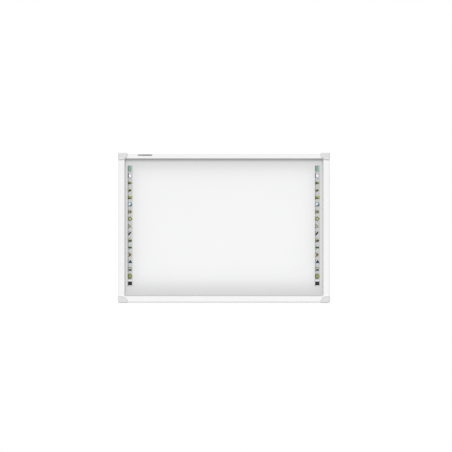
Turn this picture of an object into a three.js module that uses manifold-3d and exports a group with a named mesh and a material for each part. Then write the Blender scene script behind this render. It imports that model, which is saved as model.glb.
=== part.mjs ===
// An infrared interactive whiteboard: a laminated writing board in an aluminium frame with plastic corner caps.
// Infrared lamps and sensors look across the board from behind filter strips inside the frame.
// It hangs on four wall brackets, whose hooks slide along channels in the back of the top and bottom rails.
//
// Millimetres. +X is to the viewer's right, +Z is up, and the board faces -Y.
// The origin is on the wall plane, behind the centre of the board.

import * as THREE from "three";
import { mergeVertices } from "three/addons/utils/BufferGeometryUtils.js";
import Module from "manifold-3d";

// ---- Driving dimensions ----

const BOARD_WIDTH = 1740; // over the corner caps
const BOARD_HEIGHT = 1240;
const WALL_GAP = 6; // wall plane to the back of the rails

const RAIL_WIDTH = 52; // outer edge to inner edge, seen from the front
const RAIL_DEPTH = 35;
const RAIL_WALL = 1.8;
const EDGE_RADIUS = 12; // outer front edge of a rail
const LIP_RADIUS = 3; // inner front edge of a rail
const CREASE_INWARD = 33; // decorative crease along the front of a rail
const MITRE_GAP = 0.2; // left at each rail end, square to the rail's length
const TIP_CUT = 10; // sharp tip cut off the outside of each mitre, under the cap
const TIP_PLAY = 1.5; // room under a cap in front of a rail's cut tip

const SEAT_FORWARD = 20; // board seat, measured forward from the rail's back
const SEAT_INWARD = 22; // bottom of the board slot, measured inward from the rail's outer edge
const FLANGE_INWARD = 34; // inner edge of the back flange, behind the board
const WEB_THICKNESS = 1.6;
const WEB_FRONT = SEAT_FORWARD + WEB_THICKNESS;
const FRONT_INSIDE = RAIL_DEPTH - RAIL_WALL;

const CHANNEL = { lipStart: 8.5, lipEnd: 15.5, wideStart: 5, wideEnd: 19, floor: 6.4 }; // hanging channel
const CHAMBER = { start: RAIL_WALL, end: 20.2, back: 7.8, front: SEAT_FORWARD }; // holds keys and controller

const CAP_SKIN = 2; // cap wall outside the rails
const CAP_LENGTH = 80; // along the top and bottom rails
const CAP_HEIGHT = 65; // along the side rails
const CAP_OUTER_RADIUS = 15;
const CAP_TIP_RADIUS = 14; // where the cap's curved edge meets the outer edges
const CAP_PROUD = 6; // cap face in front of the rails
const CAP_FULLNESS = 3; // exponent of the curved edge's superellipse, where 2 would be an ellipse
const CAP_ROUND = { across: 7, forward: 5 }; // round along the cap's curved edge
const CAP_VOID = 20; // depth of the void inside the cap's outer corner, forward from the rails' back
const CAP_DISH = { depth: 1.2, slope: 4, rim: 8 }; // shallow dish in the face, and the raised rim left round it
const INFILL_LEG = 9; // small plastic corner seen inside the frame

const KEY_LEG = 90; // corner key, from the frame's outer corner to the end of a leg
const SCREW_FROM_CORNER = 42;
const SCREW_FORWARD = 13.5; // screw axis, forward from the rail's back
const SHANK_RADIUS = 1.75;
const HEAD_RADIUS = 3.4;
const HEAD_HEIGHT = 1.7;
const SCREW_LENGTH = 14;
const HEAD_SUNK = 0.15; // head's face below the cap's outside

const FILTER = { start: 46.3, end: 48.3, back: 20.1, front: 33 };
const SENSOR_PCB = { start: 25.2, end: 43.6, back: 23.5, front: 25.1 };
const SENSOR_PCB_END = 60; // from the rail's end, along it, to the board's end and its connector
const SOLDERED = 0.4; // parts on a circuit board reach this far into it
const LAMP_PITCH = 36;
const CABLE_RADIUS = 1.6;
const CABLE_FORWARD = 27.4;

const BRACKET_WIDTH = 60;
const BRACKET_X = 520; // brackets' rest place, either side of the middle
const BRACKET_PLATE = 70;
const STEEL = 2.5; // bracket sheet
const CLEARANCE = 0.3;

const KEY_COUNT = 17; // touch keys printed on each strip
const KEY_PITCH = 59;
const STRIP_WIDTH = 40;
const STRIP_MARGIN = 50; // strip length beyond the first and last key centres, together
const STRIP_X = { left: -772.5, right: 767.5 };
const STRIP_Z = 12;
const BADGE = { width: 120, height: 13, x: -648, inward: 24 }; // blank plate on the top rail

const FRAME_X = BOARD_WIDTH / 2 - CAP_SKIN; // outer faces of the side rails
const FRAME_Z = BOARD_HEIGHT / 2 - CAP_SKIN; // outer faces of the top and bottom rails
const ACROSS_RAIL = [-5, 60]; // span of a cutter that passes right through a rail, inward or forward
const ROUND = 16; // segments of a full circle on small round parts
const MERGE_TOLERANCE = 1e-4;

// ---- Materials ----

function material(name, color, roughness, metalness) {
  return new THREE.MeshStandardMaterial({ name, color, roughness, metalness });
}

const frameWhite = material("frame_white", 0xf2f2f2, 0.45, 0.1);
const capGrey = material("cap_grey", 0xdcdddd, 0.55, 0);
const boardWhite = material("board_white", 0xe9eaea, 0.5, 0);
const coreBoard = material("core_board", 0xc9b38c, 0.9, 0);
const zincSheet = material("zinc_sheet", 0xa9adb0, 0.45, 0.9);
const bareAluminium = material("bare_aluminium", 0xb9bcbe, 0.5, 0.9);
const zincSteel = material("zinc_steel", 0xb4b6b8, 0.35, 0.9);
const filterSmoke = material("filter_smoke", 0x5c5a5e, 0.15, 0);
const circuitGreen = material("circuit_green", 0x1f6b3c, 0.5, 0);
const cableGrey = material("cable_grey", 0x8c8f92, 0.6, 0);
const nylonNatural = material("nylon_natural", 0xe4e0d2, 0.6, 0);
const bumperRubber = material("bumper_rubber", 0x2b2b2c, 0.9, 0);
const stripVinyl = material("strip_vinyl", 0xd8d9d8, 0.4, 0);
const badgeGrey = material("badge_grey", 0x8b8d8f, 0.4, 0.2);

// ---- Solids ----

const wasm = await Module();
wasm.setup();

// A closed geometry as a solid that can be joined and cut.
function solid(geometry) {
  const bare = geometry.clone();
  bare.deleteAttribute("normal");
  bare.deleteAttribute("uv");
  const merged = mergeVertices(bare, MERGE_TOLERANCE);
  const vertProperties = merged.attributes.position.array;
  const triVerts = new Uint32Array(merged.index.array);
  return new wasm.Manifold(new wasm.Mesh({ numProp: 3, vertProperties, triVerts }));
}

// A solid as a geometry for a mesh.
function geometryOf(body) {
  const mesh = body.getMesh();
  const geometry = new THREE.BufferGeometry();
  geometry.setAttribute("position", new THREE.BufferAttribute(mesh.vertProperties, 3));
  geometry.setIndex(new THREE.BufferAttribute(mesh.triVerts, 1));
  geometry.computeVertexNormals();
  return geometry;
}

function joined(geometries) {
  return geometries.map(solid).reduce((whole, piece) => whole.add(piece));
}

function cut(body, cutters) {
  return cutters.map(solid).reduce((rest, cutter) => rest.subtract(cutter), body);
}

function box(low, high) {
  const size = high.map((value, i) => value - low[i]);
  const centre = high.map((value, i) => (value + low[i]) / 2);
  return new THREE.BoxGeometry(...size).translate(...centre);
}

// A shape drawn point by point, with straight sides.
function polygon(points) {
  return new THREE.Shape(points.map(([x, y]) => new THREE.Vector2(x, y)));
}

function extrude(shape, depth, options = {}) {
  return new THREE.ExtrudeGeometry(shape, { depth, bevelEnabled: false, curveSegments: 6, ...options });
}

function mesh(name, geometry, look) {
  const made = new THREE.Mesh(geometry, look);
  made.name = name;
  return made;
}

// ---- Frame of one side ----
// A side is built lying along X: its outer face is at z = 0, and its back is at y = 0.
// "inward" runs from the outer edge towards the board, and "forward" from the back towards the viewer.

const SIDE_BASIS = new THREE.Matrix4().makeBasis(
  new THREE.Vector3(0, 0, -1), // inward
  new THREE.Vector3(0, -1, 0), // forward
  new THREE.Vector3(-1, 0, 0), // along
);

function sideBox(along, inward, forward) {
  return box([along[0], -forward[1], -inward[1]], [along[1], -forward[0], -inward[0]]);
}

// Extrudes a section drawn in (inward, forward) and cuts both ends at 45 degrees.
function mitredBar(section, outerLength, gap) {
  const bar = extrude(section, 1);
  const position = bar.attributes.position;
  for (let i = 0; i < position.count; i++) {
    const end = outerLength / 2 - gap - position.getX(i);
    position.setZ(i, position.getZ(i) > 0.5 ? end : -end);
  }
  return bar.applyMatrix4(SIDE_BASIS);
}

// The rail's section: hanging channel and board slot at the back, lamp space with its filter groove in front.
function railSection() {
  const ribHeight = SENSOR_PCB.back - 0.1;
  const ribWidth = 1.4;
  const ribInset = 0.8; // the sensor board overhangs its two ribs by this much
  const ribs = [SENSOR_PCB.end - ribInset - ribWidth, SENSOR_PCB.start + ribInset];
  const grooveRib = { start: FILTER.start - 1.9, end: FILTER.start - 0.2, back: FRONT_INSIDE - 1.8 };
  const lipStart = FILTER.end + 0.2;
  const creaseHalf = 0.9;
  const creaseDepth = 0.7;

  const section = new THREE.Shape();
  section.moveTo(0, 0);
  section.lineTo(CHANNEL.lipStart, 0);
  section.lineTo(CHANNEL.lipStart, RAIL_WALL);
  section.lineTo(CHANNEL.wideStart, RAIL_WALL);
  section.lineTo(CHANNEL.wideStart, CHANNEL.floor);
  section.lineTo(CHANNEL.wideEnd, CHANNEL.floor);
  section.lineTo(CHANNEL.wideEnd, RAIL_WALL);
  section.lineTo(CHANNEL.lipEnd, RAIL_WALL);
  section.lineTo(CHANNEL.lipEnd, 0);
  section.lineTo(FLANGE_INWARD, 0);
  section.lineTo(FLANGE_INWARD, RAIL_WALL);
  section.lineTo(SEAT_INWARD, RAIL_WALL);
  section.lineTo(SEAT_INWARD, SEAT_FORWARD);
  section.lineTo(SENSOR_PCB.end + 2, SEAT_FORWARD);
  section.lineTo(SENSOR_PCB.end + 2, WEB_FRONT);
  for (const rib of ribs) {
    section.lineTo(rib + ribWidth, WEB_FRONT);
    section.lineTo(rib + ribWidth, ribHeight);
    section.lineTo(rib, ribHeight);
    section.lineTo(rib, WEB_FRONT);
  }
  section.lineTo(RAIL_WALL, WEB_FRONT);
  section.lineTo(RAIL_WALL, RAIL_DEPTH - EDGE_RADIUS);
  section.absarc(EDGE_RADIUS, RAIL_DEPTH - EDGE_RADIUS, EDGE_RADIUS - RAIL_WALL, Math.PI, Math.PI / 2, true);
  section.lineTo(grooveRib.start, FRONT_INSIDE);
  section.lineTo(grooveRib.start, grooveRib.back);
  section.lineTo(grooveRib.end, grooveRib.back);
  section.lineTo(grooveRib.end, FRONT_INSIDE);
  section.lineTo(lipStart, FRONT_INSIDE);
  section.lineTo(lipStart, grooveRib.back);
  section.lineTo(RAIL_WIDTH, grooveRib.back);
  section.absarc(RAIL_WIDTH - LIP_RADIUS, RAIL_DEPTH - LIP_RADIUS, LIP_RADIUS, 0, Math.PI / 2, false);
  section.lineTo(CREASE_INWARD + creaseHalf, RAIL_DEPTH);
  section.lineTo(CREASE_INWARD, RAIL_DEPTH - creaseDepth);
  section.lineTo(CREASE_INWARD - creaseHalf, RAIL_DEPTH);
  section.lineTo(EDGE_RADIUS, RAIL_DEPTH);
  section.absarc(EDGE_RADIUS, RAIL_DEPTH - EDGE_RADIUS, EDGE_RADIUS, Math.PI / 2, Math.PI, false);
  section.closePath();

  section.holes.push(
    polygon([
      [CHAMBER.start, CHAMBER.back],
      [CHAMBER.end, CHAMBER.back],
      [CHAMBER.end, CHAMBER.front],
      [CHAMBER.start, CHAMBER.front],
    ]),
  );
  return section;
}

// The rail's outside only, a little larger all round, to hollow the corner caps.
function envelopeSection() {
  const back = -1;
  const section = new THREE.Shape();
  section.moveTo(-CLEARANCE, back);
  section.lineTo(RAIL_WIDTH + CLEARANCE, back);
  section.lineTo(RAIL_WIDTH + CLEARANCE, RAIL_DEPTH + CLEARANCE);
  section.lineTo(EDGE_RADIUS, RAIL_DEPTH + CLEARANCE);
  section.absarc(EDGE_RADIUS, RAIL_DEPTH - EDGE_RADIUS, EDGE_RADIUS + CLEARANCE, Math.PI / 2, Math.PI, false);
  section.closePath();
  return section;
}

// A round hole through the rail's outer wall, for a cap screw.
function wallHole(along) {
  const radius = SHANK_RADIUS + 0.4;
  const depth = 6;
  const hole = new THREE.CylinderGeometry(radius, radius, depth, ROUND).rotateX(Math.PI / 2);
  return hole.translate(along, -SCREW_FORWARD, 0);
}

function rail(outerLength, extraCuts = []) {
  const bar = solid(mitredBar(railSection(), outerLength, MITRE_GAP));
  const screwAlong = outerLength / 2 - (SCREW_FROM_CORNER - CAP_SKIN);
  const tip = outerLength / 2 - TIP_CUT;
  const tips = [
    [tip, tip + 20],
    [-tip - 20, -tip],
  ].map((along) => sideBox(along, ACROSS_RAIL, ACROSS_RAIL));
  return geometryOf(cut(bar, [wallHole(screwAlong), wallHole(-screwAlong), ...tips, ...extraCuts]));
}

// ---- Infrared sensing ----

function filterStrip(openingLength) {
  const half = openingLength / 2 - 1;
  return sideBox([-half, half], [FILTER.start, FILTER.end], [FILTER.back, FILTER.front]);
}

// A long circuit board with a row of lamps or sensors along its inner edge, driver chips and a connector at each end.
function sensorBoard(outerLength, lampWidth, header) {
  const half = outerLength / 2 - SENSOR_PCB_END;
  const lampHeight = 4.6;
  const lampStart = SENSOR_PCB.end - 3;
  const lampEnd = SENSOR_PCB.end + 1.4;
  const pieces = [
    sideBox([-half, half], [SENSOR_PCB.start, SENSOR_PCB.end], [SENSOR_PCB.back, SENSOR_PCB.front]),
  ];
  const count = Math.floor((2 * half - 30) / LAMP_PITCH);
  for (let i = 0; i <= count; i++) {
    const along = (i - count / 2) * LAMP_PITCH;
    const across = [along - lampWidth / 2, along + lampWidth / 2];
    pieces.push(sideBox(across, [lampStart, lampEnd], [SENSOR_PCB.front - SOLDERED, SENSOR_PCB.front + lampHeight]));
  }
  const chipSpacing = LAMP_PITCH * 6;
  for (let along = -half + chipSpacing / 2; along < half; along += chipSpacing) {
    pieces.push(sideBox([along - 5, along + 5], [31, 36], [SENSOR_PCB.front - SOLDERED, SENSOR_PCB.front + 1.6]));
  }
  for (const end of [-half, half - 8]) {
    pieces.push(sideBox([end, end + 8], [27, 36], [SENSOR_PCB.front - SOLDERED, SENSOR_PCB.front + 4.4]));
  }
  if (header !== undefined) {
    pieces.push(sideBox([header - 5, header + 5], [25.2, 29], [SENSOR_PCB.front - SOLDERED, SENSOR_PCB.front + 3.6]));
  }
  return geometryOf(joined(pieces));
}

// A round lead along a curve.
function lead(curve, steps) {
  const circle = new THREE.Shape();
  circle.absarc(0, 0, CABLE_RADIUS, 0, 2 * Math.PI, false);
  return new THREE.ExtrudeGeometry(circle, { steps, bevelEnabled: false, curveSegments: 4, extrudePath: curve });
}

// ---- Controller, in the bottom rail's chamber ----
// Along the bottom rail, negative is towards the viewer's right.

const CONTROLLER = { along: [-650, -520], inward: [2.6, 19.4], forward: [8.1, 9.3] };
const SOCKET = { along: [-566, -554], inward: [0.3, 16.3], forward: [9.4, 19.7] };
const SOCKET_MOUTH = { width: 8.4, height: 7.6, depth: 9.4, block: 3.6 };
const LINK_ALONG = -600;
const LINK_INWARD = 11;

function controllerBoard() {
  const top = CONTROLLER.forward[1];
  const raised = (along, inward, height) => sideBox(along, inward, [top - 0.3, top + height]);
  return geometryOf(
    joined([
      sideBox(CONTROLLER.along, CONTROLLER.inward, CONTROLLER.forward),
      raised([-545, -533], [5, 17], 1.6), // processor
      raised([-590, -582], [6, 14], 1.4), // interface chip
      raised([-606, -594], [7.5, 14.5], 4), // link connector
      raised([-640, -634], [5, 11], 5), // capacitor
      raised([-628, -618], [5, 9], 2.2), // crystal
    ]),
  );
}

function socketMouth() {
  const along = (SOCKET.along[0] + SOCKET.along[1]) / 2;
  const forward = (SOCKET.forward[0] + SOCKET.forward[1]) / 2;
  return { along, forward };
}

function usbSocket() {
  const { along, forward } = socketMouth();
  const halfWidth = SOCKET_MOUTH.width / 2;
  const halfHeight = SOCKET_MOUTH.height / 2;
  const shell = solid(sideBox(SOCKET.along, SOCKET.inward, SOCKET.forward));
  const mouth = sideBox(
    [along - halfWidth, along + halfWidth],
    [SOCKET.inward[0] - 1, SOCKET.inward[0] + SOCKET_MOUTH.depth],
    [forward - halfHeight, forward + halfHeight],
  );
  const contacts = sideBox(
    [along - 2.8, along + 2.8],
    [SOCKET.inward[0] + SOCKET_MOUTH.depth - SOCKET_MOUTH.block, SOCKET.inward[0] + SOCKET_MOUTH.depth + 0.5],
    [forward - 1.6, forward + 1.6],
  );
  return geometryOf(cut(shell, [mouth]).add(solid(contacts)));
}

// The openings that the controller needs in the bottom rail: the socket's mouth and the link lead's hole.
function controllerCuts() {
  const play = 0.3;
  const mouth = sideBox(
    [SOCKET.along[0] - play, SOCKET.along[1] + play],
    [-1, CHAMBER.start + 0.5],
    [SOCKET.forward[0] - play, SOCKET.forward[1] + 0.2],
  );
  const linkHole = new THREE.CylinderGeometry(3, 3, 4, ROUND);
  linkHole.translate(LINK_ALONG, -(SEAT_FORWARD + WEB_FRONT) / 2, -LINK_INWARD);
  return [mouth, linkHole];
}

// From the controller's connector through the web and over to the sensor board's header.
function linkLead() {
  const route = [
    [LINK_INWARD, CONTROLLER.forward[1] + 4.3],
    [LINK_INWARD, 18],
    [LINK_INWARD, 22.5],
    [13.5, 26],
    [18, 27.6],
    [SENSOR_PCB.start - 0.3, CABLE_FORWARD - 0.4],
  ].map(([inward, forward]) => new THREE.Vector3(LINK_ALONG, -forward, -inward));
  return lead(new THREE.CatmullRomCurve3(route), 10);
}

// ---- Corners ----
// A corner is built at its outer corner: across runs inward along the top rail, down along the side rail,
// and forward towards the viewer. The four corners are mirror images.

const CORNER_BASIS = new THREE.Matrix4().makeBasis(
  new THREE.Vector3(-1, 0, 0), // across
  new THREE.Vector3(0, 0, -1), // down
  new THREE.Vector3(0, -1, 0), // forward
);

// A point of the cap's curved edge, and the direction that the edge faces there.
function capEdge(turn) {
  const reach = 2 / CAP_FULLNESS;
  const cosine = Math.cos(turn);
  const sine = Math.sin(turn);
  return {
    across: CAP_LENGTH * cosine ** reach,
    down: CAP_HEIGHT * sine ** reach,
    facing: Math.atan2(CAP_LENGTH * sine ** (2 - reach), CAP_HEIGHT * cosine ** (2 - reach)),
  };
}

// The turns where a round tip, flush with the cap's outer side beside it, runs smoothly into the curved edge.
function tipTurns() {
  let start = 0;
  let end = Math.PI / 2;
  for (let i = 0; i < 20; i++) {
    const atStart = (CAP_TIP_RADIUS * (1 + Math.sin(capEdge(start).facing))) / CAP_HEIGHT;
    const atEnd = (CAP_TIP_RADIUS * (1 + Math.cos(capEdge(end).facing))) / CAP_LENGTH;
    start = Math.asin(atStart ** (CAP_FULLNESS / 2));
    end = Math.acos(atEnd ** (CAP_FULLNESS / 2));
  }
  return { start, end };
}

// The curved edge bulges over both rails, and has round tips. The outer sides overshoot, to be trimmed.
function capOutline() {
  const overshoot = 10;
  const steps = 18;
  const { start, end } = tipTurns();
  const first = capEdge(start);
  const last = capEdge(end);
  const tipAcross = first.across - CAP_TIP_RADIUS * Math.cos(first.facing);
  const tipDown = last.down - CAP_TIP_RADIUS * Math.sin(last.facing);
  const outline = new THREE.Shape();
  outline.moveTo(-overshoot, -overshoot);
  outline.lineTo(tipAcross, -overshoot);
  outline.absarc(tipAcross, CAP_TIP_RADIUS, CAP_TIP_RADIUS, -Math.PI / 2, first.facing, false);
  for (let i = 1; i < steps; i++) {
    const { across, down } = capEdge(start + ((end - start) * i) / steps);
    outline.lineTo(across, down);
  }
  outline.absarc(CAP_TIP_RADIUS, tipDown, CAP_TIP_RADIUS, last.facing, Math.PI, false);
  outline.lineTo(-overshoot, tipDown);
  return outline;
}

// A big block with the cap's rounded outer corner at the origin, and its front edges rounded over the rails.
function capBlock() {
  const size = 300;
  const inset = EDGE_RADIUS + CAP_SKIN;
  const roundDepth = EDGE_RADIUS + CAP_PROUD;
  const depth = 60;
  const block = extrude(roundedRectangle(size, size, CAP_OUTER_RADIUS), depth, {
    bevelEnabled: true,
    bevelThickness: roundDepth,
    bevelSize: inset,
    bevelOffset: -inset,
    bevelSegments: 4,
    curveSegments: 4,
  });
  return block.translate(size / 2, size / 2, RAIL_DEPTH + CAP_PROUD - roundDepth - depth);
}

// The hollow for the frame under a cap: both mitred rails, everything behind them and inside their corner,
// and a round void in front of the rails' cut tips, which leaves the cap's skin the same all round.
function capHollow() {
  const length = 400;
  const bar = solid(mitredBar(envelopeSection(), length, -0.05));
  const tip = length / 2 - TIP_CUT + TIP_PLAY;
  const blunt = geometryOf(cut(bar, [sideBox([tip, length], ACROSS_RAIL, ACROSS_RAIL)]));
  const toCorner = new THREE.Matrix4().copy(CORNER_BASIS).invert();
  const across = blunt.clone().translate(-length / 2, 0, 0);
  const down = geometryOf(cut(bar, [sideBox([-length, -tip], ACROSS_RAIL, ACROSS_RAIL)]));
  down.rotateY(Math.PI / 2).translate(0, 0, -length / 2);
  const hollow = [across, down].map((side) => side.applyMatrix4(toCorner).translate(CAP_SKIN, CAP_SKIN, 0));
  const inner = CAP_SKIN + RAIL_WIDTH;
  const voidRadius = CAP_OUTER_RADIUS - CAP_SKIN;
  const tipVoid = new THREE.CylinderGeometry(voidRadius, voidRadius, 2 * CAP_VOID, 32).rotateX(Math.PI / 2);
  return joined([
    ...hollow,
    box([-10, -10, -80], [200, 200, 0]),
    box([inner, inner, -1], [200, 200, RAIL_DEPTH + CLEARANCE]),
    tipVoid.translate(CAP_OUTER_RADIUS, CAP_OUTER_RADIUS, 0),
  ]);
}

// The dish in a cap's face, which runs out over the rounded outer edges and leaves a rim along the curved edge.
function capDish() {
  const dish = extrude(capOutline(), 20, {
    bevelEnabled: true,
    bevelThickness: CAP_DISH.depth,
    bevelSize: CAP_DISH.slope,
    bevelOffset: -CAP_DISH.rim - CAP_DISH.slope,
    bevelSegments: 1,
    curveSegments: 8,
  });
  return dish.translate(0, 0, RAIL_DEPTH + CAP_PROUD);
}

function cornerCap() {
  const rear = -2 * CAP_ROUND.forward;
  const depth = RAIL_DEPTH + CAP_PROUD - rear;
  const outline = extrude(capOutline(), depth - 2 * CAP_ROUND.forward, {
    bevelEnabled: true,
    bevelThickness: CAP_ROUND.forward,
    bevelSize: CAP_ROUND.across,
    bevelOffset: -CAP_ROUND.across,
    bevelSegments: 4,
    curveSegments: 8,
  }).translate(0, 0, rear + CAP_ROUND.forward);
  const outside = solid(outline).intersect(solid(capBlock()));
  const body = cut(outside.subtract(capHollow()), [screwSeat(true), screwSeat(false), capDish()]);
  return geometryOf(body).applyMatrix4(CORNER_BASIS);
}

// The L-shaped key that joins two rails inside their chambers, with lightening pockets and screw bores.
function cornerKey() {
  const near = CAP_SKIN + CHAMBER.start + CLEARANCE;
  const far = CAP_SKIN + CHAMBER.end - CLEARANCE;
  const end = CAP_SKIN + KEY_LEG;
  const chamfer = 2 * (CAP_SKIN + TIP_CUT + CLEARANCE) - near;
  const outline = polygon([
    [chamfer, near],
    [end, near],
    [end, far],
    [far, far],
    [far, end],
    [near, end],
    [near, chamfer],
  ]);
  const back = CHAMBER.back + CLEARANCE;
  const front = CHAMBER.front - CLEARANCE;
  const key = extrude(outline, front - back).translate(0, 0, back);
  const radius = SHANK_RADIUS + 0.2;
  const bore = new THREE.CylinderGeometry(radius, radius, 60, ROUND);
  const across = bore.clone().translate(SCREW_FROM_CORNER, 0, SCREW_FORWARD);
  const down = bore.clone().rotateZ(Math.PI / 2).translate(0, SCREW_FROM_CORNER, SCREW_FORWARD);
  const pocket = [SCREW_FROM_CORNER + 10, end - 4];
  const pocketDepth = [front - 6, front + 1];
  const acrossPocket = box([pocket[0], near + 3, pocketDepth[0]], [pocket[1], far - 3, pocketDepth[1]]);
  const downPocket = box([near + 3, pocket[0], pocketDepth[0]], [far - 3, pocket[1], pocketDepth[1]]);
  return geometryOf(cut(solid(key), [across, down, acrossPocket, downPocket])).applyMatrix4(CORNER_BASIS);
}

// The small plastic corner that closes the gap between two filter strips, with a post held under the rails' lips.
function cornerInfill() {
  const edge = CAP_SKIN + RAIL_WIDTH + CLEARANCE;
  const back = SEAT_FORWARD + CLEARANCE;
  const face = polygon([
    [edge, edge],
    [edge + INFILL_LEG, edge],
    [edge, edge + INFILL_LEG],
  ]);
  const front = RAIL_DEPTH - 0.6;
  const post = box([edge - 3.5, edge - 3.5, back], [edge + 0.4, edge + 0.4, FRONT_INSIDE - 2.1]);
  const body = joined([extrude(face, front - back).translate(0, 0, back), post]);
  return geometryOf(body).applyMatrix4(CORNER_BASIS);
}

// A countersunk screw pointing along +Y, its head's face at y = 0.
function screwProfile(grow) {
  const head = HEAD_RADIUS + grow;
  const shank = SHANK_RADIUS + grow;
  return [
    [0, SCREW_LENGTH + grow],
    [shank * 0.5, SCREW_LENGTH + grow],
    [shank, SCREW_LENGTH - 1.2],
    [shank, HEAD_HEIGHT + grow],
    [head, 0.2],
    [head, -grow * 4],
    [0, -grow * 4],
  ].map(([r, y]) => new THREE.Vector2(r, y));
}

function screw() {
  const body = new THREE.LatheGeometry(screwProfile(0).reverse(), 10);
  const slot = box([-0.5, -1, -2.2], [0.5, 0.9, 2.2]);
  return geometryOf(cut(solid(body), [slot, slot.clone().rotateY(Math.PI / 2)]));
}

// The hole that a cap screw's head sinks into: through the top wall, or through the side wall.
function screwSeat(throughTop) {
  const seat = new THREE.LatheGeometry(screwProfile(0.2).reverse(), 12);
  if (throughTop) {
    return seat.translate(SCREW_FROM_CORNER, HEAD_SUNK, SCREW_FORWARD);
  }
  return seat.rotateZ(-Math.PI / 2).translate(HEAD_SUNK, SCREW_FROM_CORNER, SCREW_FORWARD);
}

function capScrew(throughTop) {
  const body = screw();
  if (throughTop) {
    body.translate(SCREW_FROM_CORNER, HEAD_SUNK, SCREW_FORWARD);
  } else {
    body.rotateZ(-Math.PI / 2).translate(HEAD_SUNK, SCREW_FROM_CORNER, SCREW_FORWARD);
  }
  return body.applyMatrix4(CORNER_BASIS);
}

// A quarter turn of lead between the connectors of two sensor boards.
function cornerLead() {
  const connector = CAP_SKIN + SENSOR_PCB_END - CLEARANCE;
  const line = CAP_SKIN + 31.5;
  const radius = connector - line;
  const points = [];
  for (let i = 0; i <= 8; i++) {
    const angle = (i / 8) * (Math.PI / 2);
    const across = connector - radius * Math.sin(angle);
    const down = connector - radius * Math.cos(angle);
    points.push(new THREE.Vector3(across, down, CABLE_FORWARD).applyMatrix4(CORNER_BASIS));
  }
  return lead(new THREE.CatmullRomCurve3(points), 8);
}

// ---- Board ----
// Three bonded layers, listed from the back: steel sheet, honeycomb core, coated steel writing sheet.

const LAYERS = [
  { name: "back_sheet", back: 1.95, front: 2.55, look: zincSheet },
  { name: "panel_core", back: 2.6, front: 19.2, look: coreBoard },
  { name: "writing_surface", back: 19.25, front: 19.85, look: boardWhite },
];

function boardLayers() {
  const halfX = FRAME_X - SEAT_INWARD - 0.4;
  const halfZ = FRAME_Z - SEAT_INWARD - 0.4;
  return LAYERS.map(({ name, back, front, look }) =>
    mesh(name, box([-halfX, -WALL_GAP - front, -halfZ], [halfX, -WALL_GAP - back, halfZ]), look),
  );
}

// ---- Key strips and badge ----

function roundedRectangle(width, height, radius) {
  const x = width / 2 - radius;
  const y = height / 2 - radius;
  const shape = new THREE.Shape();
  shape.absarc(x, y, radius, 0, Math.PI / 2, false);
  shape.absarc(-x, y, radius, Math.PI / 2, Math.PI, false);
  shape.absarc(-x, -y, radius, Math.PI, 1.5 * Math.PI, false);
  shape.absarc(x, -y, radius, 1.5 * Math.PI, 2 * Math.PI, false);
  return shape;
}

// A thin plate seen from the front, with its back at y = 0.
function facePlate(width, height, radius, thickness) {
  const outline = roundedRectangle(width, height, radius);
  return extrude(outline, thickness, { curveSegments: 3 }).rotateX(Math.PI / 2);
}

function keyStrip(side) {
  const length = (KEY_COUNT - 1) * KEY_PITCH + STRIP_MARGIN;
  const strip = mesh("key_strip_" + side, facePlate(STRIP_WIDTH, length, 3, 0.3), stripVinyl);
  strip.position.set(STRIP_X[side], -WALL_GAP - 19.9, STRIP_Z);
  return strip;
}

function badge() {
  const plate = mesh("badge", facePlate(BADGE.width, BADGE.height, 3, 0.5), badgeGrey);
  plate.position.set(BADGE.x, -WALL_GAP - RAIL_DEPTH - 0.05, FRAME_Z - BADGE.inward);
  return plate;
}

// ---- Wall brackets ----
// A bracket is sheet steel: a plate on the wall, an arm into the rail's channel, and a tongue turned up behind the lip.
// Its section is drawn in (up, forward from the wall), with the top of the arm at up = 0.

function bracketSection(plateRises) {
  const armEnd = WALL_GAP + CHANNEL.floor - 1;
  const tongueBack = armEnd - STEEL;
  const tongueTop = 2.6;
  const plateEnd = plateRises ? BRACKET_PLATE : -BRACKET_PLATE;
  const bend = 1.2; // inside bend radius
  if (plateRises) {
    return polygon([
      [plateEnd, 0],
      [bend - STEEL, 0],
      [-STEEL, bend],
      [-STEEL, armEnd - bend],
      [bend - STEEL, armEnd],
      [tongueTop, armEnd],
      [tongueTop, tongueBack],
      [0, tongueBack],
      [0, STEEL],
      [plateEnd, STEEL],
    ]);
  }
  return polygon([
    [-bend, 0],
    [0, bend],
    [0, tongueBack],
    [tongueTop, tongueBack],
    [tongueTop, armEnd],
    [bend - STEEL, armEnd],
    [-STEEL, armEnd - bend],
    [-STEEL, STEEL + bend],
    [-STEEL - bend, STEEL],
    [plateEnd, STEEL],
    [plateEnd, 0],
  ]);
}

const WALL_SLOT = { length: 22, width: 6.5, places: [26, 54] }; // places: distance from the arm along the plate

function wallSlot(up) {
  const slot = roundedRectangle(WALL_SLOT.length, WALL_SLOT.width, WALL_SLOT.width / 2 - 0.01);
  return extrude(slot, 20, { curveSegments: 3 }).rotateX(Math.PI / 2).translate(0, 5, up);
}

// The nylon clip over the tongue, which runs in the channel.
function glide(lipEdge) {
  const armEnd = WALL_GAP + CHANNEL.floor - 1;
  const half = BRACKET_WIDTH / 2 - 6;
  const top = lipEdge.room - CLEARANCE;
  const back = WALL_GAP + RAIL_WALL + 0.25;
  const front = WALL_GAP + CHANNEL.floor - 0.2;
  const clip = solid(box([-half, -front, 0.6], [half, -back, top]));
  const slot = box([-half - 1, -armEnd - 0.15, -1], [half + 1, -(armEnd - STEEL) + 0.15, 2.75]);
  return geometryOf(cut(clip, [slot]));
}

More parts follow.
